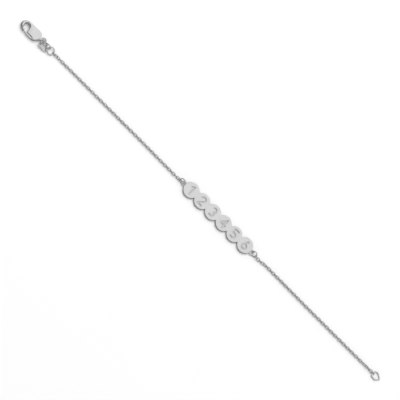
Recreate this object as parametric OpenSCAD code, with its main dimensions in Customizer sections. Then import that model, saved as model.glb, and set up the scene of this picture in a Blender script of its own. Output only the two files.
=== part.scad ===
// Chain bracelet with a row of six joined round plates and a trigger clasp, laid open and straight.
// +X runs from the clasp to the end ring, +Y to the tops of the digits and +Z up from the table.
// The origin is on the table, under the middle of the whole length.

/* [Bracelet] */
// Whole length, from the tip of the clasp to the tip of the end ring
bracelet_len = 177.8; // [165:0.1:195]
// Distance from the middle of the bracelet to the middle of the plate
plate_shift = 8.45; // [-5:0.05:12]

/* [Plate] */
// Number of discs in the row
disc_count = 6; // [4:1:7]
// Diameter of a disc
disc_d = 5.95; // [5.4:0.05:6.6]
// How far neighbouring discs run into each other
disc_overlap = 0.55; // [0.4:0.05:1]
// Thickness of the plate
plate_t = 1.05; // [0.95:0.05:1.3]
// Bevel along the edges of the plate
plate_bevel = 0.14; // [0.05:0.01:0.25]
// Turn of the row away from the chain, in degrees
plate_turn = -0.7; // [-1:0.1:-0.4]

/* [Digits] */
// Height of a digit
digit_h = 3.8; // [3:0.1:4.2]
// Width of a digit's stroke
digit_stroke = 0.65; // [0.4:0.05:0.75]
// Depth of the recess
digit_depth = 0.45; // [0.2:0.05:0.6]

/* [Plate Eyes] */
// Outer diameter of the eye at each end of the plate
plate_eye_d = 2; // [1.9:0.05:2.2]
// Thickness of the eye's wire
plate_eye_wire = 0.42; // [0.36:0.01:0.43]
// Distance from the edge of the end disc to the middle of the eye
plate_eye_out = 0.46; // [0.35:0.01:0.55]
// Height of the middle of the eye above the table
plate_eye_z = 0.75; // [0.73:0.01:0.77]

/* [Jump Rings] */
// Outer diameter of the jump rings beside the plate
small_ring_d = 2.35; // [2.3:0.01:2.5]
// Outer diameter of the two jump rings beside the clasp
clasp_ring_d = 2.45; // [2.35:0.01:2.6]
// Wire of the small jump rings
small_ring_wire = 0.38; // [0.3:0.01:0.4]
// Outer diameter of the large jump ring
large_ring_d = 3.1; // [2.9:0.05:3.4]
// Wire of the large jump ring
large_ring_wire = 0.42; // [0.35:0.01:0.45]

/* [Tag] */
// Length of the oval tag
tag_len = 4.2; // [4:0.05:4.4]
// Width of the tag
tag_w = 1.7; // [1.5:0.05:1.8]
// Thickness of the tag
tag_t = 0.28; // [0.24:0.02:0.32]
// Diameter of the hole in the tag
tag_hole_d = 0.82; // [0.76:0.02:0.9]
// Distance from the tag's end to the middle of its hole
tag_hole_in = 0.7; // [0.66:0.02:0.76]
// Outer diameter of the ring that holds the tag
tag_ring_d = 2.4; // [2.36:0.02:2.5]
// Wire of the ring that holds the tag
tag_ring_wire = 0.3; // [0.26:0.01:0.33]

/* [Chain] */
// Length of a chain link
link_len = 1.67; // [1.55:0.01:2]
// Width of a chain link
link_w = 1.1; // [1.05:0.01:1.25]
// Wire of a chain link
link_wire = 0.24; // [0.2:0.01:0.26]
// Least gap between two links that pull on each other
link_gap = 0.1; // [0.1:0.01:0.15]
// How much closer than taut the right chain's links lie
right_slack = 0.06; // [0:0.005:0.08]

/* [End Ring] */
// Length of the end ring
end_ring_len = 3.45; // [3.2:0.05:3.8]
// Width of the end ring
end_ring_w = 3.05; // [2.8:0.05:3.4]
// Wire of the end ring
end_ring_wire = 0.44; // [0.36:0.01:0.48]

/* [Clasp] */
// Length of the clasp's body, from its tip to the start of the neck
clasp_len = 8.75; // [8.5:0.05:9.1]
// Width of the clasp's body
clasp_w = 4.2; // [4:0.05:4.8]
// Thickness of the clasp's body
clasp_t = 1.7; // [1.5:0.05:2]
// Rounding of the body's edges
clasp_round = 0.2; // [0.1:0.01:0.22]
// Distance from the end of the clasp's body to the middle of its eye
clasp_eye_x = 1.3; // [1.2:0.05:2.05]
// Distance from the middle line to the middle of the clasp's eye
clasp_eye_side = 0.8; // [0.6:0.05:1]
// Height of the middle of the clasp's eye above the table
clasp_eye_z = 0.8; // [0.76:0.01:0.84]
// Outer diameter of the clasp's eye
clasp_eye_d = 2.1; // [2.06:0.01:2.3]
// Wire of the clasp's eye
clasp_eye_wire = 0.45; // [0.4:0.01:0.47]

/* [Lever] */
// Thickness of the lever
lever_t = 0.66; // [0.5:0.02:0.8]
// Gap between the lever and the walls of its slot
lever_gap = 0.05; // [0.04:0.01:0.1]
// Angle by which the lever opens, in degrees
lever_open = 16; // [10:1:18]
// Diameter of the pivot pin
pin_d = 0.5; // [0.4:0.02:0.6]
// Gap between the pin and the holes round it
pin_gap = 0.03; // [0.02:0.01:0.05]

/* [Hidden] */
$fn = 48;
silver = [0.86, 0.86, 0.88];
tip_x = -bracelet_len / 2;
far_x = bracelet_len / 2;
rest_gap = 0.01;

// Turns a vector into one of length 1
function unit(v) = v / norm(v);

// Outline of rows [x, y, radius], anticlockwise, with each corner rounded in the given number of steps
function rounded(rows, steps) = [
    for (i = [0:len(rows) - 1])
        let (
            n = len(rows),
            p = [rows[i].x, rows[i].y],
            r = rows[i].z,
            before = rows[(i + n - 1) % n],
            after = rows[(i + 1) % n],
            u = unit([before.x, before.y] - p),
            v = unit([after.x, after.y] - p),
            half = acos(u * v) / 2,
            middle = p + unit(u + v) * r / sin(half),
            start = p + u * r / tan(half) - middle,
            from = atan2(start.y, start.x),
            sweep = sign(cross(-u, v)) * (180 - 2 * half)
        )
        for (k = [0:steps]) middle + r * [cos(from + sweep * k / steps), sin(from + sweep * k / steps)]
];

// Direction of travel along a closed outline at point i
function heading(points, i) = let (n = len(points)) unit(points[(i + 1) % n] - points[(i + n - 1) % n]);

// Whether a point lies in the anticlockwise triangle a, b, c
function within(p, a, b, c) = min(cross(b - a, p - a), cross(c - b, p - b), cross(a - c, p - c)) >= 0;

// Whether the corner b of an outline can be cut off along the line from a to c
function is_ear(points, left, a, b, c) =
    cross(points[b] - points[a], points[c] - points[b]) > 0 &&
    len([
        for (k = left)
            if (k != a && k != b && k != c && within(points[k], points[a], points[b], points[c])) k
    ]) == 0;

// Triangles that fill an anticlockwise outline, found by cutting off one corner after another
function triangles(points, left) =
    len(left) == 3 ? [left] :
    let (
        n = len(left),
        ears = [
            for (i = [0:n - 1])
                let (a = left[(i + n - 1) % n], b = left[i], c = left[(i + 1) % n])
                if (is_ear(points, left, a, b, c)) [a, b, c]
        ],
        spans = [for (ear = ears) norm(points[ear[2]] - points[ear[0]])],
        best = ears[search(min(spans), spans)[0]]
    )
    concat([best], triangles(points, [for (k = left) if (k != best[1]) k]));

// Slab of a closed outline whose upper and lower edges are rounded
module soft_slab(points, thick, edge, steps) {
    n = len(points);
    rise = [for (k = [0:steps]) [edge * (1 - sin(90 * k / steps)), edge * (1 - cos(90 * k / steps))]];
    levels = concat(rise, [for (k = [steps:-1:0]) [rise[k][0], thick - rise[k][1]]]);
    corners = [
        for (level = levels, i = [0:n - 1])
            let (h = heading(points, i), p = points[i] + level[0] * [-h.y, h.x]) [p.x, p.y, level[1]]
    ];
    walls = [
        for (j = [0:len(levels) - 2], i = [0:n - 1])
            [j * n + i, (j + 1) * n + i, (j + 1) * n + (i + 1) % n, j * n + (i + 1) % n]
    ];
    rim = [for (i = [0:n - 1]) [corners[i].x, corners[i].y]];
    floor_faces = triangles(rim, [for (i = [0:n - 1]) i]);
    raised = (len(levels) - 1) * n;
    top_faces = [for (face = floor_faces) [raised + face[2], raised + face[1], raised + face[0]]];
    polyhedron(corners, concat(walls, floor_faces, top_faces), convexity = 6);
}

// Closed wire of the given thickness along a flat anticlockwise outline
module wire_loop(points, wire, sides) {
    n = len(points);
    corners = [
        for (i = [0:n - 1], k = [0:sides - 1])
            let (h = heading(points, i), a = 360 * k / sides, out = wire / 2 * cos(a))
            [points[i].x + h.y * out, points[i].y - h.x * out, wire / 2 * sin(a)]
    ];
    walls = [
        for (i = [0:n - 1], k = [0:sides - 1])
            let (j = (i + 1) % n, m = (k + 1) % sides)
            [i * sides + k, i * sides + m, j * sides + m, j * sides + k]
    ];
    polyhedron(corners, walls, convexity = 4);
}

// Round ring of round wire, flat around the origin
module ring(d, wire) {
    rotate_extrude() translate([(d - wire) / 2, 0]) circle(d = wire);
}

// Height of the middle of a rolled ring that rests on the table
function resting(d, wire, roll) = (d - wire) / 2 * abs(sin(roll)) + wire / 2 + rest_gap;

// Plate
disc_pitch = disc_d - disc_overlap;
row_len = (disc_count - 1) * disc_pitch;
plate_eye_x = row_len / 2 + disc_d / 2 + plate_eye_out;

module disc() {
    r = disc_d / 2;
    b = plate_bevel;
    rotate_extrude($fn = 96) polygon([[0, 0], [r - b, 0], [r, b], [r, plate_t - b], [r - b, plate_t], [0, plate_t]]);
}

// Straight stroke between two points
module stroke_bar(p, q) {
    d = q - p;
    translate(p) rotate(atan2(d.y, d.x)) translate([0, -digit_stroke / 2]) square([norm(d), digit_stroke]);
}

// Round stroke about the origin between two angles
module stroke_arc(r, from, to) {
    reach = 2 * (r + digit_stroke);
    turns = 5;
    wedge = [for (k = [0:turns]) let (a = from + (to - from) * k / turns) reach * [cos(a), sin(a)]];
    intersection() {
        difference() {
            circle(r = r + digit_stroke / 2);
            circle(r = r - digit_stroke / 2);
        }
        polygon(concat([[0, 0]], wedge));
    }
}

digit_top = digit_h / 2 - digit_stroke / 2;
bowl = 0.55 * digit_top;
half_bowl = digit_top / 2;

module digit_one() {
    foot = [0.2 * digit_top, -digit_h / 2];
    head = [0.2 * digit_top, digit_h / 2];
    stroke_bar(foot, head);
    stroke_bar([-0.5 * digit_top, 0.62 * digit_top], [0.2 * digit_top, digit_top]);
}

module digit_two() {
    reach = 0.68 * digit_top;
    turn = -38;
    centre = [0, digit_top - bowl];
    translate(centre) stroke_arc(bowl, turn, 180);
    stroke_bar([-reach, -digit_top], centre + bowl * [cos(turn), sin(turn)]);
    stroke_bar([-reach - digit_stroke / 4, -digit_top], [reach, -digit_top]);
}

module digit_three() {
    translate([0, half_bowl]) stroke_arc(half_bowl, -90, 150);
    translate([0, -half_bowl]) stroke_arc(half_bowl, -150, 90);
}

module digit_four() {
    post = 0.35 * digit_top;
    rail = -0.4 * digit_top;
    left = -0.85 * digit_top;
    stroke_bar([post, -digit_h / 2], [post, digit_h / 2]);
    stroke_bar([left, rail], [0.85 * digit_top, rail]);
    stroke_bar([left + digit_stroke / 4, rail], [post, digit_top]);
}

module digit_five() {
    left = -0.5 * digit_top;
    centre = [-0.05 * digit_top, bowl - digit_top];
    stroke_bar([left - digit_stroke / 2, digit_top], [0.6 * digit_top, digit_top]);
    stroke_bar([left, centre.y + 0.6 * bowl], [left, digit_h / 2]);
    translate(centre) stroke_arc(bowl, -150, 140);
}

module digit_six() {
    centre = [0, bowl - digit_top];
    lean = 150;
    translate(centre) stroke_arc(bowl, 0, 180);
    translate(centre) stroke_arc(bowl, 180, 360);
    stroke_bar(centre + bowl * [cos(lean), sin(lean)], [0.25 * digit_top, digit_h / 2]);
}

module digit(number) {
    if (number == 1) digit_one();
    if (number == 2) digit_two();
    if (number == 3) digit_three();
    if (number == 4) digit_four();
    if (number == 5) digit_five();
    if (number == 6) digit_six();
}

module nameplate() {
    color(silver) translate([plate_shift, 0, 0]) rotate(plate_turn) {
        difference() {
            for (k = [0:disc_count - 1]) translate([k * disc_pitch - row_len / 2, 0, 0]) disc();
            for (k = [0:disc_count - 1])
                translate([k * disc_pitch - row_len / 2, 0, plate_t - digit_depth])
                    linear_extrude(digit_depth + 1) intersection() {
                        square([disc_d, digit_h], center = true);
                        digit(k % 6 + 1);
                    }
        }
        for (side = [-1, 1]) translate([side * plate_eye_x, 0, plate_eye_z]) ring(plate_eye_d, plate_eye_wire);
    }
}

// Ring placements as rows [how much closer than taut to the piece before it, sideways, roll, turn, lift]
PLATE_LEFT = [0.9, 0.06, 56, -2, 0];
PLATE_RIGHT = [0.61, 0.14, 47, -8.5, 0];
CLASP_NEAR = [0.66, -0.328, 130.4, 2, 0.032];
CLASP_FAR = [0.647, -0.235, 72.7, -1.2, 0.055];
CHAIN_RING = [0.668, -0.333, 13, 70, 0.305];
// The tag's ring as a row [along, how much closer than taut, roll, turn, lift], from the clasp's eye
TAG_RING = [-0.2, 0.863, 76.3, 105.5, 0.038];
// The tag as a row [along, across, turn, pitch], from the middle of its ring to its hole
TAG = [0.274, -0.908, -2.4, 17.9];
LEFT_FIRST = 0.5;
LEFT_LAST = 0.7;
RIGHT_FIRST = 0.455;
RIGHT_LAST = 0.46;

small_reach = (small_ring_d - small_ring_wire) / 2;
clasp_reach = (clasp_ring_d - small_ring_wire) / 2;
large_reach = (large_ring_d - large_ring_wire) / 2;
eye_reach = (plate_eye_d - plate_eye_wire) / 2;
clasp_eye_reach = (clasp_eye_d - clasp_eye_wire) / 2;
tag_ring_reach = (tag_ring_d - tag_ring_wire) / 2;
link_reach = (link_len - link_wire) / 2;
end_reach = (end_ring_len - end_ring_wire) / 2;

// Places of the rings along the bracelet, seen from above
along = [cos(plate_turn), sin(plate_turn)];
left_eye = [plate_shift, 0] - plate_eye_x * along;
right_eye = [plate_shift, 0] + plate_eye_x * along;
left_ring = left_eye + [PLATE_LEFT[0] - eye_reach - small_reach, PLATE_LEFT[1]];
right_ring = right_eye + [eye_reach + small_reach - PLATE_RIGHT[0], PLATE_RIGHT[1]];
clasp_eye = [tip_x + clasp_len + clasp_eye_x, clasp_eye_side];
near_ring = clasp_eye + [clasp_eye_reach + clasp_reach - CLASP_NEAR[0], CLASP_NEAR[1]];
far_ring = near_ring + [2 * clasp_reach - CLASP_FAR[0], CLASP_FAR[1]];
chain_ring_at = far_ring + [clasp_reach + large_reach - CHAIN_RING[0], CHAIN_RING[1]];
tag_ring_at = clasp_eye + [TAG_RING[0], TAG_RING[1] - clasp_eye_reach - tag_ring_reach];
tag_hole = tag_ring_at + [TAG[0], TAG[1]];
left_first = chain_ring_at.x + large_reach + link_reach - LEFT_FIRST;
left_last = left_ring.x - small_reach - link_reach + LEFT_LAST;
right_first = right_ring.x + small_reach + link_reach - RIGHT_FIRST;
right_last = far_x - end_ring_wire / 2 - 2 * end_reach - link_reach + RIGHT_LAST;

module laid_ring(d, wire, place, row) {
    color(silver) translate([place.x, place.y, resting(d, wire, row[2]) + row[4]])
        rotate([row[2], 0, row[3]]) ring(d, wire);
}

module plate_ring_left() {
    laid_ring(small_ring_d, small_ring_wire, left_ring, PLATE_LEFT);
}

module plate_ring_right() {
    laid_ring(small_ring_d, small_ring_wire, right_ring, PLATE_RIGHT);
}

module clasp_ring_near() {
    laid_ring(clasp_ring_d, small_ring_wire, near_ring, CLASP_NEAR);
}

module clasp_ring_far() {
    laid_ring(clasp_ring_d, small_ring_wire, far_ring, CLASP_FAR);
}

module chain_ring() {
    laid_ring(large_ring_d, large_ring_wire, chain_ring_at, CHAIN_RING);
}

module tag_ring() {
    laid_ring(tag_ring_d, tag_ring_wire, tag_ring_at, TAG_RING);
}

// The tag's far end rests on the table and its near end is held up by its ring
module tag() {
    turn = TAG[2];
    pitch = TAG[3];
    height = rest_gap + tag_t / 2 * cos(pitch) + (tag_len - tag_hole_in) * sin(pitch);
    color(silver) translate([tag_hole.x, tag_hole.y, height]) rotate([0, pitch, turn])
        translate([0, 0, -tag_t / 2]) linear_extrude(tag_t) difference() {
            union() {
                for (x = [tag_w / 2, tag_len - tag_w / 2]) translate([x - tag_hole_in, 0]) circle(d = tag_w);
                translate([tag_w / 2 - tag_hole_in, -tag_w / 2]) square([tag_len - tag_w, tag_w]);
            }
            circle(d = tag_hole_d);
        }
}

// Route of each chain as rows [share of its length, sideways, lift]
LEFT_ROUTE = [[0, 0.08, 0], [0.33, 0.08, 0], [0.66, 0.12, 0], [0.95, -0.02, 0], [1, 0.03, 0]];
RIGHT_ROUTE = [
    [0, -0.25, 0.27], [0.02, -0.38, 0.14], [0.05, -0.15, 0], [0.075, 0, 0],
    [0.11, 0.04, 0], [0.47, -0.11, 0], [0.78, -0.075, 0], [1, 0, 0]
];
// Twist of each chain as rows [share of its length, angle in degrees]
LEFT_TWIST = [[0, 90], [0.085, 0], [0.95, 0], [1, 60]];
RIGHT_TWIST = [[0, 139], [0.036, 100], [0.054, 80], [0.126, 0], [0.875, 0], [0.929, 60], [0.965, 90], [1, 90]];
taut = link_len - 2 * link_wire - link_gap;
// The left chain's ends lie crosswise to each other and the right chain's ends lie alike
left_steps = 2 * ceil(((left_last - left_first) / taut - 1) / 2) + 1;
right_steps = 2 * ceil((right_last - right_first) / (taut - right_slack) / 2);
bend_steps = 5;
link_sides = 5;

module link() {
    flat = (link_len - link_w) / 2;
    r = (link_w - link_wire) / 2;
    path = [
        for (side = [0, 1], k = [0:bend_steps])
            let (a = 180 * (k / bend_steps + side) - 90) [r * cos(a) + (side == 0 ? flat : -flat), r * sin(a)]
    ];
    wire_loop(path, link_wire, link_sides);
}

function column(rows, k) = [for (row = rows) [row[0], row[k]]];

module chain(from, to, steps, route, twist) {
    place = [
        for (i = [0:steps])
            let (share = i / steps, lift = lookup(share, column(route, 2)))
            [from + (to - from) * share, lookup(share, column(route, 1)), link_w / 2 + rest_gap + lift]
    ];
    color(silver) for (i = [0:steps]) {
        d = place[min(i + 1, steps)] - place[max(i - 1, 0)];
        roll = lookup(i / steps, column(twist, 1)) + 90 * (i % 2);
        translate(place[i]) rotate([roll, -atan2(d.z, d.x), atan2(d.y, d.x)]) link();
    }
}

module chain_left() {
    chain(left_first, left_last, left_steps, LEFT_ROUTE, LEFT_TWIST);
}

module chain_right() {
    chain(right_first, right_last, right_steps, RIGHT_ROUTE, RIGHT_TWIST);
}

// Middle line of the end ring as rows [along, across, radius] in shares of its length and width
END_SHAPE = [
    [0.54, 0.02, 0.11], [-0.12, 0.56, 0.36], [-0.5, 0.42, 0.16], [-0.5, -0.44, 0.12], [0.07, -0.54, 0.14]
];

// Corners of a table of shares as rows [x, y, radius] in millimetres
function sized(rows, l, w) = [for (row = rows) [row[0] * l, row[1] * w, row[2] * w]];

// Middle line moved and stretched so that it spans exactly l by w, from x = 0 and about y = 0
function spanned(points, l, w) =
    let (
        xs = [for (p = points) p.x],
        ys = [for (p = points) p.y],
        low = [min(xs), (min(ys) + max(ys)) / 2],
        grow = [l / (max(xs) - min(xs)), w / (max(ys) - min(ys))]
    )
    [for (p = points) [(p.x - low.x) * grow.x, (p.y - low.y) * grow.y]];

module end_ring() {
    l = end_ring_len - end_ring_wire;
    w = end_ring_w - end_ring_wire;
    tip_z = end_ring_wire / 2 + rest_gap;
    tilt = asin((link_w / 2 - tip_z) / l);
    path = spanned(rounded(sized(END_SHAPE, l, w), 3), l, w);
    color(silver) translate([far_x - end_ring_wire / 2, 0, tip_z])
        rotate([0, tilt, 0]) translate([-l, 0, 0]) wire_loop(path, end_ring_wire, 6);
}

// Clasp body as rows [along, across, radius] in shares of its length, width and width
BODY_SHAPE = [
    [0, -0.1, 0.2], [0.06, -0.286, 0.3], [0.133, -0.405, 0.4], [0.217, -0.488, 0.3],
    [0.3, -0.5, 0.06], [0.3, -0.352, 0.06], [0.209, -0.31, 0.2], [0.149, -0.167, 0.3],
    [0.143, 0.095, 0.3], [0.183, 0.262, 0.15], [0.331, 0.286, 0.2], [0.394, 0.119, 0.4],
    [0.429, -0.143, 0.8], [0.451, -0.405, 0.065], [0.72, -0.405, 0.06], [0.749, -0.512, 0.065],
    [0.84, -0.512, 0.15], [0.937, -0.298, 0.6], [1, -0.119, 0.1], [1, 0.107, 0.1],
    [0.966, 0.298, 0.4], [0.891, 0.488, 0.25], [0.217, 0.488, 0.3], [0.08, 0.333, 0.3], [0, 0.1, 0.2]
];
// Lever in the same shares, without its barrel
LEVER_SHAPE = [
    [0.313, -0.505, 0.04], [0.446, -0.512, 0.2], [0.491, -0.548, 0.1], [0.686, -0.548, 0.1],
    [0.8, -0.5, 0.05], [0.8, -0.29, 0.05], [0.71, -0.37, 0.2], [0.457, -0.393, 0.4], [0.313, -0.424, 0.04]
];
SLOT_FROM = 0.4;
SLOT_TO = 0.874;
SLOT_MOUTH = 0.433;
PIN_ALONG = 0.8;
PIN_ACROSS = -0.393;
NECK_FROM = [0.96, -0.04];
neck_d = 1.2;
slot_room = 0.085;
barrel_wall = 0.2;
pin_x = PIN_ALONG * clasp_len;
pin_y = PIN_ACROSS * clasp_w;
clasp_mid = clasp_t / 2;
// The slot is deep enough for the lever to turn by its whole angle
slot_wall = pin_y + (pin_x - SLOT_MOUTH * clasp_len) * sin(lever_open) + slot_room;

module clasp_body() {
    slot_t = lever_t + 2 * lever_gap;
    start = [NECK_FROM.x * clasp_len, NECK_FROM.y * clasp_w];
    eye = [clasp_len + clasp_eye_x, clasp_eye_side];
    toward = unit(start - eye);
    finish = eye + clasp_eye_reach * toward;
    neck = finish - start;
    color(silver) translate([tip_x, 0, 0]) {
        difference() {
            soft_slab(rounded(sized(BODY_SHAPE, clasp_len, clasp_w), 2), clasp_t, clasp_round, 2);
            translate([SLOT_FROM * clasp_len, -clasp_w, clasp_mid - slot_t / 2])
                cube([(SLOT_TO - SLOT_FROM) * clasp_len, clasp_w + slot_wall, slot_t]);
            translate([pin_x, pin_y, -1]) cylinder(h = clasp_t + 2, d = pin_d + 2 * pin_gap);
        }
        translate([start.x, start.y, clasp_mid]) rotate([0, 90, atan2(neck.y, neck.x)])
            cylinder(h = norm(neck), d1 = neck_d, d2 = clasp_eye_wire);
        translate([eye.x, eye.y, clasp_eye_z]) ring(clasp_eye_d, clasp_eye_wire);
    }
}

module clasp_lever() {
    color(silver) translate([tip_x, 0, clasp_mid - lever_t / 2]) difference() {
        union() {
            linear_extrude(lever_t) polygon(rounded(sized(LEVER_SHAPE, clasp_len, clasp_w), 3));
            translate([pin_x, pin_y, 0]) cylinder(h = lever_t, d = pin_d + 2 * pin_gap + 2 * barrel_wall);
        }
        translate([pin_x, pin_y, -1]) cylinder(h = lever_t + 2, d = pin_d + 2 * pin_gap);
    }
}

module clasp_pin() {
    color(silver) translate([tip_x + pin_x, pin_y, rest_gap])
        cylinder(h = clasp_t - 2 * rest_gap, d = pin_d);
}

nameplate();
plate_ring_left();
plate_ring_right();
chain_left();
chain_right();
chain_ring();
clasp_ring_near();
clasp_ring_far();
tag_ring();
tag();
clasp_body();
clasp_lever();
clasp_pin();
end_ring();
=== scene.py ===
# Looks of the chain bracelet: smooth links, rings and clasp over the solids, silver, a pale studio.
import math

import bmesh
import bpy
import numpy as np
from mathutils import Matrix, Vector


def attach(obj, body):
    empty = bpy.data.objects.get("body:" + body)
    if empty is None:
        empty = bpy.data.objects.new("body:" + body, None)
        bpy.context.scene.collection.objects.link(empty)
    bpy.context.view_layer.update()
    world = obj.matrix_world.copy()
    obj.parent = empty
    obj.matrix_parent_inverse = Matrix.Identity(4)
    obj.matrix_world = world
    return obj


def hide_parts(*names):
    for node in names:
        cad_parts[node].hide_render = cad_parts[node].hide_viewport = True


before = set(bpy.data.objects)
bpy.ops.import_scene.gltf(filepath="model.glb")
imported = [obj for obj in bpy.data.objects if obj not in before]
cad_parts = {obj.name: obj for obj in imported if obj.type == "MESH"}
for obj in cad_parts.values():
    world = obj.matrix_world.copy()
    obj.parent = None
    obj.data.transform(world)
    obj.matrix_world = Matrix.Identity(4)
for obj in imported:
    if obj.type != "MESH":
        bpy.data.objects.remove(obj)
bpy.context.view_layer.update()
MM = 0.001

# Photograph's frame: 400 by 400 pixels, the bracelet's +X runs down to the right at 45 degrees.
IMAGE = 400
MM_PER_PIXEL = 0.3514
ELEVATION = math.radians(70)
ROLL = math.radians(-45)
TARGET = Vector((-0.425, 0.223, 0)) * MM
CAMERA_AWAY = 1.6
CAMERA_REACH = 10
SENSOR = 36


def make_camera():
    data = bpy.data.cameras.new("camera")
    data.sensor_width = SENSOR
    data.lens = SENSOR * CAMERA_AWAY / (IMAGE * MM_PER_PIXEL * MM)
    data.clip_end = CAMERA_REACH
    camera = bpy.data.objects.new("camera", data)
    bpy.context.scene.collection.objects.link(camera)
    back = Vector((0, -math.cos(ELEVATION), math.sin(ELEVATION)))
    along = Vector((1, 0, 0))
    across = back.cross(along)
    right = along * math.cos(ROLL) - across * math.sin(ROLL)
    up = along * math.sin(ROLL) + across * math.cos(ROLL)
    turn = Matrix((right, up, back)).transposed()
    camera.matrix_world = Matrix.Translation(TARGET + back * CAMERA_AWAY) @ turn.to_4x4()
    bpy.context.scene.camera = camera


# Materials: a cloud of slightly darker and rougher patches, and fine stretched scratches
CLOUD_SCALE, CLOUD_DETAIL = 420, 3
CLOUD_FROM, CLOUD_TO, CLOUD_DARK = 0.35, 0.65, 0.955
ROUGH_LEAST, ROUGH_MOST = 0.8, 1.25
HAIR_SCALE, HAIR_DETAIL = 2600, 4
HAIR_STRETCH, HAIR_TURN, HAIR_DEPTH = (1, 9, 1), (0, 0, 0.5), 0.00002
EDGE_SAMPLES = 8
# Digits: the height of their floor over the plate's back, its darker tone, which is painted shade in the
# recesses, and what counts as facing up
DIGIT_FLOOR, DIGIT_SHADE_TONE, FLOOR_NEAR, FACES_UP = 0.6 * MM, 0.84, 0.05 * MM, 0.9


def metal(name, tone, rough, scratch, edge):
    """Silver of a tone and a roughness, with scratches of a strength and edges softened over a radius."""
    m = bpy.data.materials.new(name)
    m.use_nodes = True
    nodes, links = m.node_tree.nodes, m.node_tree.links
    shader = nodes["Principled BSDF"]
    shader.inputs["Metallic"].default_value = 1
    place = nodes.new("ShaderNodeTexCoord")
    cloud = nodes.new("ShaderNodeTexNoise")
    cloud.inputs["Scale"].default_value = CLOUD_SCALE
    cloud.inputs["Detail"].default_value = CLOUD_DETAIL
    links.new(place.outputs["Object"], cloud.inputs["Vector"])
    shade = nodes.new("ShaderNodeValToRGB")
    shade.color_ramp.elements[0].position = CLOUD_FROM
    shade.color_ramp.elements[0].color = [c * CLOUD_DARK for c in tone] + [1]
    shade.color_ramp.elements[1].position = CLOUD_TO
    shade.color_ramp.elements[1].color = list(tone) + [1]
    links.new(cloud.outputs["Fac"], shade.inputs["Fac"])
    links.new(shade.outputs["Color"], shader.inputs["Base Color"])
    spread = nodes.new("ShaderNodeMapRange")
    spread.inputs["To Min"].default_value = rough * ROUGH_LEAST
    spread.inputs["To Max"].default_value = rough * ROUGH_MOST
    links.new(cloud.outputs["Fac"], spread.inputs["Value"])
    links.new(spread.outputs["Result"], shader.inputs["Roughness"])
    stretch = nodes.new("ShaderNodeMapping")
    stretch.inputs["Scale"].default_value = HAIR_STRETCH
    stretch.inputs["Rotation"].default_value = HAIR_TURN
    links.new(place.outputs["Object"], stretch.inputs["Vector"])
    hair = nodes.new("ShaderNodeTexNoise")
    hair.inputs["Scale"].default_value = HAIR_SCALE
    hair.inputs["Detail"].default_value = HAIR_DETAIL
    links.new(stretch.outputs["Vector"], hair.inputs["Vector"])
    bump = nodes.new("ShaderNodeBump")
    bump.inputs["Strength"].default_value = scratch
    bump.inputs["Distance"].default_value = HAIR_DEPTH
    links.new(hair.outputs["Fac"], bump.inputs["Height"])
    soft = nodes.new("ShaderNodeBevel")
    soft.samples = EDGE_SAMPLES
    soft.inputs["Radius"].default_value = edge
    links.new(soft.outputs["Normal"], bump.inputs["Normal"])
    links.new(bump.outputs["Normal"], shader.inputs["Normal"])
    return m


def paint_recess_shade(m, level, tone):
    """Painted shade: a darker tone at the given height of a part, where the metal faces up."""
    nodes, links = m.node_tree.nodes, m.node_tree.links
    base = nodes["Principled BSDF"].inputs["Base Color"]
    colour = base.links[0].from_socket
    place = nodes.new("ShaderNodeTexCoord")
    height = nodes.new("ShaderNodeSeparateXYZ")
    links.new(place.outputs["Object"], height.inputs["Vector"])
    near = nodes.new("ShaderNodeMath")
    near.operation = "COMPARE"
    near.inputs[1].default_value = level
    near.inputs[2].default_value = FLOOR_NEAR
    links.new(height.outputs["Z"], near.inputs[0])
    facing = nodes.new("ShaderNodeNewGeometry")
    normal = nodes.new("ShaderNodeSeparateXYZ")
    links.new(facing.outputs["True Normal"], normal.inputs["Vector"])
    up = nodes.new("ShaderNodeMath")
    up.operation = "GREATER_THAN"
    up.inputs[1].default_value = FACES_UP
    links.new(normal.outputs["Z"], up.inputs[0])
    recess_shade_mask = nodes.new("ShaderNodeMath")
    recess_shade_mask.operation = "MULTIPLY"
    links.new(near.outputs[0], recess_shade_mask.inputs[0])
    links.new(up.outputs[0], recess_shade_mask.inputs[1])
    mix = nodes.new("ShaderNodeMix")
    mix.data_type = "RGBA"
    mix.blend_type = "MULTIPLY"
    links.new(recess_shade_mask.outputs[0], mix.inputs[0])
    links.new(colour, mix.inputs[6])
    mix.inputs[7].default_value = (tone, tone, tone, 1)
    links.new(mix.outputs[2], base)


# The same silver in four tones, each set to how bright its part looks under this light: the plate lightest,
# the clasp a little darker, the rings and chain darker still, which is painted shade
PLATE = metal("plate_silver", (0.92, 0.92, 0.925), 0.30, 0.10, 0.16 * MM)
# Painted shade on the floors of the engraved digits
paint_recess_shade(PLATE, DIGIT_FLOOR, DIGIT_SHADE_TONE)
RING = metal("ring_silver", (0.78, 0.78, 0.79), 0.28, 0.06, 0.07 * MM)
CHAIN = metal("chain_silver", (0.67, 0.67, 0.68), 0.36, 0.05, 0.05 * MM)
CLASP = metal("clasp_silver", (0.87, 0.87, 0.875), 0.22, 0.08, 0.08 * MM)


# Mesh helpers
def add(name, verts, faces, material, node, body="bracelet", sharp=40):
    """A smooth drawn piece that rides on a body and stands for a node, with edges over sharp degrees kept."""
    mesh = bpy.data.meshes.new(name)
    mesh.from_pydata([tuple(v) for v in verts], [], [tuple(f) for f in faces])
    mesh.validate()
    clean = bmesh.new()
    clean.from_mesh(mesh)
    bmesh.ops.recalc_face_normals(clean, faces=clean.faces)
    clean.to_mesh(mesh)
    clean.free()
    mesh.shade_smooth()
    mesh.set_sharp_from_angle(angle=math.radians(sharp))
    mesh.materials.append(material)
    piece = bpy.data.objects.new(name, mesh)
    bpy.context.scene.collection.objects.link(piece)
    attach(piece, body)
    if node:
        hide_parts(node)
    return piece


def node_points(node):
    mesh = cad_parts[node].data
    points = np.zeros(len(mesh.vertices) * 3)
    mesh.vertices.foreach_get("co", points)
    return points.reshape(-1, 3)


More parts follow.
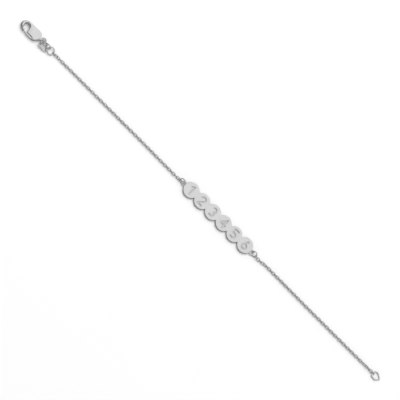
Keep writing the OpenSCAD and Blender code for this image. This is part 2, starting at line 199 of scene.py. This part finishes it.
def solids(node):
    """The vertices of each separate solid of a node."""
    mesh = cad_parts[node].data
    points = node_points(node)
    keys = {}
    same = [keys.setdefault(tuple(k), len(keys)) for k in np.round(points * 1e7).astype(int).tolist()]
    boss = list(range(len(keys)))

    def top(i):
        while boss[i] != i:
            boss[i] = boss[boss[i]]
            i = boss[i]
        return i

    for face in mesh.polygons:
        ids = [top(same[v]) for v in face.vertices]
        for i in ids[1:]:
            boss[i] = ids[0]
    groups = {}
    for i, k in enumerate(same):
        groups.setdefault(top(k), {})[k] = points[i]
    return [np.array(list(g.values())) for g in groups.values()]


def axes_through(points):
    """Axes of a ring or link as columns: its longest first, its normal last."""
    _, axes = np.linalg.eigh(np.cov((points - points.mean(0)).T))
    axes = axes[:, ::-1].copy()
    axes[:, 2] = np.cross(axes[:, 0], axes[:, 1])
    return axes


def pose_of(points):
    """Middle and axes of a link."""
    axes = axes_through(points)
    flat = (points - points.mean(0)) @ axes
    return points.mean(0) + axes @ ((flat.max(0) + flat.min(0)) / 2), axes


def wire(path, radius, sides):
    """Closed round wire along a flat closed path in the XY plane."""
    n = len(path)
    verts, faces = [], []
    for i in range(n):
        h = path[(i + 1) % n] - path[i - 1]
        h = h / np.linalg.norm(h)
        for k in range(sides):
            a = 2 * math.pi * k / sides
            out = radius * math.cos(a)
            verts.append((path[i][0] + h[1] * out, path[i][1] - h[0] * out, radius * math.sin(a)))
            j = (i + 1) % n
            m = (k + 1) % sides
            faces.append((i * sides + k, i * sides + m, j * sides + m, j * sides + k))
    return np.array(verts), faces


def stadium(length, width, steps):
    """Outline of two half circles joined by straight sides."""
    flat, r = (length - width) / 2, width / 2
    path = []
    for side in (1, -1):
        for k in range(steps + 1):
            a = math.pi * (k / steps - 0.5) + (0 if side > 0 else math.pi)
            path.append((flat * side + r * math.cos(a), r * math.sin(a)))
    return np.array(path)


def circle(r, steps):
    turns = [2 * math.pi * k / steps for k in range(steps)]
    return np.array([(r * math.cos(a), r * math.sin(a)) for a in turns])


def many(shape, places):
    """One shape repeated at each place, which is its middle and axes."""
    verts, faces, at = [], [], 0
    for middle, axes in places:
        verts.append(shape[0] @ axes.T + middle)
        faces += [tuple(i + at for i in f) for f in shape[1]]
        at += len(shape[0])
    return np.concatenate(verts), faces


# Chains and rings: each faceted one becomes a smooth one in its own place
LINK_LEN, LINK_W, LINK_WIRE = 1.67 * MM, 1.1 * MM, 0.24 * MM
# The drawn link's wire, and its width between the middles of the wire
ROUND_WIRE, ROUND_W = 0.25 * MM, 0.9 * MM
LINK_STEPS, LINK_SIDES = 10, 10
RING_STEPS, RING_SIDES = 64, 20
SMALL_RING, CLASP_RING, SMALL_WIRE = 2.35 * MM, 2.45 * MM, 0.38 * MM
LARGE_RING, LARGE_WIRE = 3.1 * MM, 0.42 * MM
TAG_RING, TAG_RING_WIRE = 2.4 * MM, 0.3 * MM


def chain(node):
    link = wire(stadium(LINK_LEN - LINK_WIRE, ROUND_W, LINK_STEPS), ROUND_WIRE / 2, LINK_SIDES)
    verts, faces = many(link, [pose_of(p) for p in solids(node)])
    add(node + "_links", verts, faces, CHAIN, node)


def jump_ring(node, d, thick):
    shape = wire(circle((d - thick) / 2, RING_STEPS), thick / 2, RING_SIDES)
    points = node_points(node)
    middle = (points.max(0) + points.min(0)) / 2
    verts, faces = many(shape, [(middle, axes_through(points))])
    add(node + "_wire", verts, faces, RING, node)


# Clasp, tag and end ring in millimetres: the construction's own tables, drawn with finer rounding
TIP_X, FAR_X = -88.9, 88.9
REST_GAP = 0.01
CLASP_LEN, CLASP_W, CLASP_T, CLASP_LIFT, CORNER_STEPS = 8.75, 4.2, 1.7, 1.6, 6
CLASP_EYE, CLASP_EYE_D, CLASP_EYE_WIRE = (10.05, 0.8, 0.8), 2.1, 0.45
LEVER_T, LEVER_GAP, LEVER_ROUND = 0.66, 0.05, 0.08
PIN_D, PIN_GAP, BARREL_WALL = 0.5, 0.03, 0.2
EDGE_STEPS, FINE_EDGE_STEPS = 6, 3
LEVER_CORNER_STEPS, END_CORNER_STEPS = 5, 8
END_SIDES, TAG_STEPS, ROD_SIDES = 18, 24, 32
# How far a cutting shape reaches past each face
CUT_PAST = 1
# Rows [share of the length, share of the width, corner radius as a share of the width, edge rounding]
BODY_SHAPE = [
    [0, -0.1, 0.2, 0.48], [0.06, -0.286, 0.3, 0.48], [0.133, -0.405, 0.4, 0.42],
    [0.217, -0.488, 0.3, 0.3],
    [0.3, -0.5, 0.06, 0.2], [0.3, -0.352, 0.06, 0.2], [0.209, -0.31, 0.2, 0.3], [0.149, -0.167, 0.3, 0.42],
    [0.143, 0.095, 0.3, 0.45], [0.183, 0.262, 0.15, 0.35], [0.331, 0.286, 0.2, 0.28],
    [0.394, 0.119, 0.4, 0.25],
    [0.429, -0.143, 0.8, 0.22], [0.451, -0.405, 0.065, 0.2], [0.72, -0.405, 0.06, 0.2],
    [0.749, -0.512, 0.065, 0.2], [0.84, -0.512, 0.15, 0.22], [0.937, -0.298, 0.6, 0.3],
    [1, -0.119, 0.1, 0.3], [1, 0.107, 0.1, 0.3], [0.966, 0.298, 0.4, 0.3], [0.891, 0.488, 0.25, 0.25],
    [0.217, 0.488, 0.3, 0.3], [0.08, 0.333, 0.3, 0.45], [0, 0.1, 0.2, 0.48]
]
# Rows [share of the length, share of the width, corner radius as a share of the width]
LEVER_SHAPE = [
    [0.313, -0.505, 0.04], [0.446, -0.512, 0.2], [0.491, -0.548, 0.1], [0.686, -0.548, 0.1],
    [0.8, -0.5, 0.05], [0.8, -0.29, 0.05], [0.71, -0.37, 0.2], [0.457, -0.393, 0.4], [0.313, -0.424, 0.04]
]
SLOT_FROM, SLOT_TO, SLOT_WALL = 0.4, 0.874, -0.162
PIN = np.array([0.8 * CLASP_LEN, -0.393 * CLASP_W])
NECK_FROM = np.array([0.96 * CLASP_LEN, -0.04 * CLASP_W])
NECK_D = 1.2
END_SHAPE = [
    [0.54, 0.02, 0.11], [-0.12, 0.56, 0.36], [-0.5, 0.42, 0.16], [-0.5, -0.44, 0.12], [0.07, -0.54, 0.14]
]
END_LEN, END_W, END_WIRE = 3.45, 3.05, 0.44
TAG_LEN, TAG_W, TAG_T, TAG_ROUND = 4.2, 1.7, 0.28, 0.06
TAG_HOLE, TAG_HOLE_IN, TAG_TURN, TAG_PITCH = 0.82, 0.7, -2.4, 17.9


def unit(v):
    return v / np.linalg.norm(v)


def rounded(rows, length, width, steps):
    """Anticlockwise outline of a table of shares, each corner rounded in the given number of steps."""
    rows = [(np.array([row[0] * length, row[1] * width]), row[2] * width) for row in rows]
    out = []
    for i, (p, r) in enumerate(rows):
        u = unit(rows[i - 1][0] - p)
        v = unit(rows[(i + 1) % len(rows)][0] - p)
        half = math.acos(u @ v) / 2
        middle = p + unit(u + v) * r / math.sin(half)
        start = p + u * r / math.tan(half) - middle
        begin = math.atan2(start[1], start[0])
        sweep = math.copysign(math.pi - 2 * half, -u[0] * v[1] + u[1] * v[0])
        for k in range(steps + 1):
            a = begin + sweep * k / steps
            out.append(middle + r * np.array([math.cos(a), math.sin(a)]))
    return np.array(out)


def slab(points, thick, edges, lift, steps):
    """Slab of a closed outline; a point's rounding runs in by its edge and down by lift times that."""
    n = len(points)
    edges = np.resize(edges, n)
    ahead = np.roll(points, -1, 0) - np.roll(points, 1, 0)
    ahead /= np.linalg.norm(ahead, axis=1)[:, None]
    inward = np.stack([-ahead[:, 1], ahead[:, 0]], -1)
    verts, faces = [], []
    angles = [math.pi / 2 * k / steps for k in range(steps + 1)]
    levels = [(a, False) for a in angles] + [(a, True) for a in reversed(angles)]
    for a, above in levels:
        ring = points + inward * (edges * (1 - math.sin(a)))[:, None]
        rise = edges * lift * (1 - math.cos(a))
        verts += [(x, y, z) for (x, y), z in zip(ring, thick - rise if above else rise)]
    for j in range(len(levels) - 1):
        for i in range(n):
            m = (i + 1) % n
            faces.append((j * n + i, j * n + m, (j + 1) * n + m, (j + 1) * n + i))
    faces.append(tuple(range(n - 1, -1, -1)))
    faces.append(tuple((len(levels) - 1) * n + i for i in range(n)))
    return np.array(verts), faces


def rod(r0, r1, length, sides=ROD_SIDES):
    """Round bar along +Z with the two radii at its ends."""
    verts, faces = [], []
    turns = [2 * math.pi * k / sides for k in range(sides)]
    for z, r in ((0, r0), (length, r1)):
        verts += [(r * math.cos(a), r * math.sin(a), z) for a in turns]
    for k in range(sides):
        m = (k + 1) % sides
        faces.append((k, m, sides + m, sides + k))
    faces += [tuple(range(sides - 1, -1, -1)), tuple(range(sides, 2 * sides))]
    return np.array(verts), faces


def block(low, high):
    corners = [(x, y, z) for z in (low[2], high[2]) for y in (low[1], high[1]) for x in (low[0], high[0])]
    faces = [(0, 2, 3, 1), (4, 5, 7, 6), (0, 1, 5, 4), (2, 6, 7, 3), (0, 4, 6, 2), (1, 3, 7, 5)]
    return np.array(corners), faces


def moved(shape, offset):
    return shape[0] + np.array(offset), shape[1]


def scratch_object(shape):
    mesh = bpy.data.meshes.new("cutter")
    mesh.from_pydata([tuple(v) for v in shape[0]], [], shape[1])
    piece = bpy.data.objects.new("cutter", mesh)
    bpy.context.scene.collection.objects.link(piece)
    return piece


def carved(shape, tools):
    """The shape after each (operation, tool shape) in turn, in millimetres."""
    body = scratch_object(shape)
    for operation, tool in tools:
        other = scratch_object(tool)
        step = body.modifiers.new("step", "BOOLEAN")
        step.operation = operation
        step.solver = "EXACT"
        step.object = other
        carving = body.evaluated_get(bpy.context.evaluated_depsgraph_get())
        result = bpy.data.meshes.new_from_object(carving)
        body.modifiers.clear()
        body.data = result
        bpy.data.objects.remove(other)
    verts = np.array([tuple(v.co) for v in body.data.vertices])
    faces = [tuple(p.vertices) for p in body.data.polygons]
    bpy.data.objects.remove(body)
    return verts, faces


def clasp_body():
    slot_t = LEVER_T + 2 * LEVER_GAP
    middle = CLASP_T / 2
    edges = np.repeat([row[3] for row in BODY_SHAPE], CORNER_STEPS + 1)
    outline = rounded(BODY_SHAPE, CLASP_LEN, CLASP_W, CORNER_STEPS)
    body = slab(outline, CLASP_T, edges, CLASP_LIFT, EDGE_STEPS)
    slot = block((SLOT_FROM * CLASP_LEN, -CLASP_W, middle - slot_t / 2),
                 (SLOT_TO * CLASP_LEN, SLOT_WALL * CLASP_W, middle + slot_t / 2))
    bore_r = PIN_D / 2 + PIN_GAP
    bore = moved(rod(bore_r, bore_r, CLASP_T + 2 * CUT_PAST), (PIN[0], PIN[1], -CUT_PAST))
    body = carved(body, [("DIFFERENCE", slot), ("DIFFERENCE", bore)])
    place = (TIP_X, 0, 0)
    verts, faces = moved(body, place)
    add("clasp_body_shell", verts * MM, faces, CLASP, "clasp_body")
    eye = np.array(CLASP_EYE)
    reach = (CLASP_EYE_D - CLASP_EYE_WIRE) / 2
    start = np.array([NECK_FROM[0], NECK_FROM[1], middle])
    finish = np.array([*(eye[:2] + reach * unit(start[:2] - eye[:2])), middle])
    aim = Vector(finish - start).to_track_quat("Z", "Y").to_matrix()
    neck = rod(NECK_D / 2, CLASP_EYE_WIRE / 2, np.linalg.norm(finish - start))
    verts = neck[0] @ np.array(aim).T + start + np.array(place)
    add("clasp_neck", verts * MM, neck[1], CLASP, "clasp_body")
    loop = wire(circle(reach, RING_STEPS), CLASP_EYE_WIRE / 2, RING_SIDES)
    verts, faces = moved(loop, eye + np.array(place))
    add("clasp_eye", verts * MM, faces, RING, "clasp_body")


def clasp_lever():
    bore_r = PIN_D / 2 + PIN_GAP
    barrel_r = bore_r + BARREL_WALL
    outline = rounded(LEVER_SHAPE, CLASP_LEN, CLASP_W, LEVER_CORNER_STEPS)
    lever = slab(outline, LEVER_T, LEVER_ROUND, 1, FINE_EDGE_STEPS)
    barrel = moved(rod(barrel_r, barrel_r, LEVER_T), (PIN[0], PIN[1], 0))
    bore = moved(rod(bore_r, bore_r, LEVER_T + 2 * CUT_PAST), (PIN[0], PIN[1], -CUT_PAST))
    lever = carved(lever, [("UNION", barrel), ("DIFFERENCE", bore)])
    verts, faces = moved(lever, (TIP_X, 0, (CLASP_T - LEVER_T) / 2))
    add("clasp_lever_shell", verts * MM, faces, CLASP, "clasp_lever",
        body="clasp_lever")


def tag():
    """The tag with softened edges: a smooth outline with its hole, laid in the solid's own place."""
    hole = TAG_HOLE / 2
    outline = stadium(TAG_LEN, TAG_W, TAG_STEPS)
    body = slab(outline, TAG_T, TAG_ROUND, 1, FINE_EDGE_STEPS)
    hole_x = TAG_HOLE_IN - TAG_LEN / 2
    drill = moved(rod(hole, hole, TAG_T + 2 * CUT_PAST), (hole_x, 0, -CUT_PAST))
    body = carved(body, [("DIFFERENCE", drill)])
    spin = Matrix.Rotation(math.radians(TAG_TURN), 3, "Z")
    turn = np.array(spin @ Matrix.Rotation(math.radians(TAG_PITCH), 3, "Y"))
    flat = node_points("tag") / MM @ turn
    middle = turn @ ((flat.max(0) + flat.min(0)) / 2)
    verts = (body[0] - [0, 0, TAG_T / 2]) @ turn.T + middle
    add("tag_plate", verts * MM, body[1], RING, "tag")


def end_ring():
    length, width = END_LEN - END_WIRE, END_W - END_WIRE
    path = rounded(END_SHAPE, length, width, END_CORNER_STEPS)
    low, high = path.min(0), path.max(0)
    path = (path - [low[0], (low[1] + high[1]) / 2]) * [length, width] / (high - low)
    tip_z = END_WIRE / 2 + REST_GAP
    tilt = math.asin((LINK_W / MM / 2 - tip_z) / length)
    verts, faces = wire(path - [length, 0], END_WIRE / 2, END_SIDES)
    turn = np.array(Matrix.Rotation(tilt, 3, "Y"))
    verts = verts @ turn.T + [FAR_X - END_WIRE / 2, 0, tip_z]
    add("end_ring_wire", verts * MM, faces, CLASP, "end_ring", sharp=60)


# Studio: a floor seen by the camera with painted light by the clasp, a dimmer one with painted shade seen by
# reflections, a sky, a card and a soft lamp
FLOOR_SIZE, FLOOR_DROP = 6, 0.00002
# Floor tones: painted light on the floor by the clasp, and painted shade on the floor as reflections see it
FLOOR_TONE, CLASP_FLOOR_PAINTED_LIGHT = 0.925, 0.97
CLASP_PAINTED_LIGHT_SPAN = (-90 * MM, -60 * MM)
FRONT_PAINTED_SHADE, BACK_PAINTED_SHADE, PAINTED_SHADE_SPAN = 0.42, 0.6, (0.0, 8 * MM)
SIDE_SHADE, SIDE_SPAN = 0.3, (-95 * MM, -86 * MM)
# The sky's strength in reflections, its slopes along the three axes, and its strength for the floor
SKY_BASE, SKY_X, SKY_Y, SKY_Z = 0.36, 0.3, 0.4, 0.3
SKY_FLOOR = 0.7
CARD_SIZE, CARD_AWAY = 0.3, 0.3
CARD_FROM, CARD_TO = 0.85, 0.66
KEY_PLACE, KEY_SIZE, KEY_POWER = (-0.1, 0.45, 1.15), 1.0, 7.5


def ranged(nodes, links, source, span, values):
    """The source's span eased into the range of values."""
    part = nodes.new("ShaderNodeMapRange")
    part.interpolation_type = "SMOOTHSTEP"
    part.inputs["From Min"].default_value, part.inputs["From Max"].default_value = span
    part.inputs["To Min"].default_value, part.inputs["To Max"].default_value = values
    links.new(source, part.inputs["Value"])
    return part.outputs["Result"]


def axes_of(nodes, links, kind):
    place = nodes.new("ShaderNodeTexCoord")
    part = nodes.new("ShaderNodeSeparateXYZ")
    links.new(place.outputs[kind], part.inputs["Vector"])
    return part.outputs


def plain(name):
    m = bpy.data.materials.new(name)
    m.use_nodes = True
    m.node_tree.nodes.clear()
    return m, m.node_tree.nodes, m.node_tree.links


def floor_plane():
    """A white floor with painted light by the clasp; in reflections it is dimmer, a painted shade that is
    deepest in front and past the clasp.
    """
    bpy.ops.mesh.primitive_plane_add(size=FLOOR_SIZE, location=(0, 0, -FLOOR_DROP))
    floor = bpy.context.object
    floor.name = "floor"
    m, nodes, links = plain("floor_white")
    out = nodes.new("ShaderNodeOutputMaterial")
    pale = nodes.new("ShaderNodeBsdfDiffuse")
    place = axes_of(nodes, links, "Object")
    white = ranged(nodes, links, place["X"], CLASP_PAINTED_LIGHT_SPAN, (CLASP_FLOOR_PAINTED_LIGHT, FLOOR_TONE))
    links.new(white, pale.inputs["Color"])
    # Painted shade: the dimmer floor that reflections see
    reflected_floor_shade = nodes.new("ShaderNodeBsdfDiffuse")
    tone = nodes.new("ShaderNodeMath")
    tone.operation = "MULTIPLY"
    links.new(ranged(nodes, links, place["Y"], PAINTED_SHADE_SPAN, (FRONT_PAINTED_SHADE, BACK_PAINTED_SHADE)), tone.inputs[0])
    links.new(ranged(nodes, links, place["X"], SIDE_SPAN, (SIDE_SHADE, 1)), tone.inputs[1])
    links.new(tone.outputs[0], reflected_floor_shade.inputs["Color"])
    ray = nodes.new("ShaderNodeLightPath")
    mix = nodes.new("ShaderNodeMixShader")
    links.new(ray.outputs["Is Glossy Ray"], mix.inputs["Fac"])
    links.new(pale.outputs["BSDF"], mix.inputs[1])
    links.new(reflected_floor_shade.outputs["BSDF"], mix.inputs[2])
    links.new(mix.outputs["Shader"], out.inputs["Surface"])
    floor.data.materials.append(m)


def sky():
    """White light that slopes along the axes in reflections and is even on the floor."""
    world = bpy.data.worlds.new("studio")
    bpy.context.scene.world = world
    world.use_nodes = True
    nodes, links = world.node_tree.nodes, world.node_tree.links
    shade = nodes["Background"]
    axes = axes_of(nodes, links, "Generated")
    level = None
    for axis, slope in (("X", SKY_X), ("Y", SKY_Y), ("Z", SKY_Z)):
        step = nodes.new("ShaderNodeMath")
        step.operation = "MULTIPLY_ADD"
        step.inputs[1].default_value = slope
        step.inputs[2].default_value = SKY_BASE
        links.new(axes[axis], step.inputs[0])
        if level:
            links.new(level, step.inputs[2])
        level = step.outputs[0]
    ray = nodes.new("ShaderNodeLightPath")
    choose = nodes.new("ShaderNodeMix")
    links.new(ray.outputs["Is Glossy Ray"], choose.inputs["Factor"])
    choose.inputs["A"].default_value = SKY_FLOOR
    links.new(level, choose.inputs["B"])
    links.new(choose.outputs["Result"], shade.inputs["Strength"])
    shade.inputs["Color"].default_value = (1, 1, 1, 1)


def soft_card():
    """A soft panel that only reflections see, a little brighter at the clasp's end."""
    bpy.ops.mesh.primitive_plane_add(size=CARD_SIZE)
    card = bpy.context.object
    card.name = "soft_card"
    aim = Vector((0, math.cos(ELEVATION), math.sin(ELEVATION)))
    card.location = aim * CARD_AWAY
    card.rotation_euler = (-aim).to_track_quat("Z", "Y").to_euler()
    for flag in ("visible_camera", "visible_diffuse", "visible_shadow", "visible_transmission"):
        setattr(card, flag, False)
    m, nodes, links = plain("card_light")
    out = nodes.new("ShaderNodeOutputMaterial")
    glow = nodes.new("ShaderNodeEmission")
    half = CARD_SIZE / 2
    along = axes_of(nodes, links, "Object")["X"]
    links.new(ranged(nodes, links, along, (-half, half), (CARD_FROM, CARD_TO)), glow.inputs["Strength"])
    links.new(glow.outputs["Emission"], out.inputs["Surface"])
    card.data.materials.append(m)


def key_lamp():
    """A wide soft lamp, above and a little behind, which reflections don't see."""
    data = bpy.data.lights.new("key", "AREA")
    data.shape = "DISK"
    data.size = KEY_SIZE
    data.energy = KEY_POWER
    light = bpy.data.objects.new("key", data)
    bpy.context.scene.collection.objects.link(light)
    light.location = KEY_PLACE
    light.rotation_euler = (-Vector(KEY_PLACE)).to_track_quat("-Z", "Y").to_euler()
    light.visible_glossy = False


def dress(node, material):
    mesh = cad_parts[node].data
    mesh.materials.clear()
    mesh.materials.append(material)


make_camera()
floor_plane()
sky()
soft_card()
key_lamp()
chain("chain_left")
chain("chain_right")
jump_ring("plate_ring_left", SMALL_RING, SMALL_WIRE)
jump_ring("plate_ring_right", SMALL_RING, SMALL_WIRE)
jump_ring("clasp_ring_near", CLASP_RING, SMALL_WIRE)
jump_ring("clasp_ring_far", CLASP_RING, SMALL_WIRE)
jump_ring("chain_ring", LARGE_RING, LARGE_WIRE)
jump_ring("tag_ring", TAG_RING, TAG_RING_WIRE)
dress("nameplate", PLATE)
dress("clasp_pin", CLASP)
clasp_body()
clasp_lever()
tag()
end_ring()
bpy.context.scene.view_settings.view_transform = "Standard"
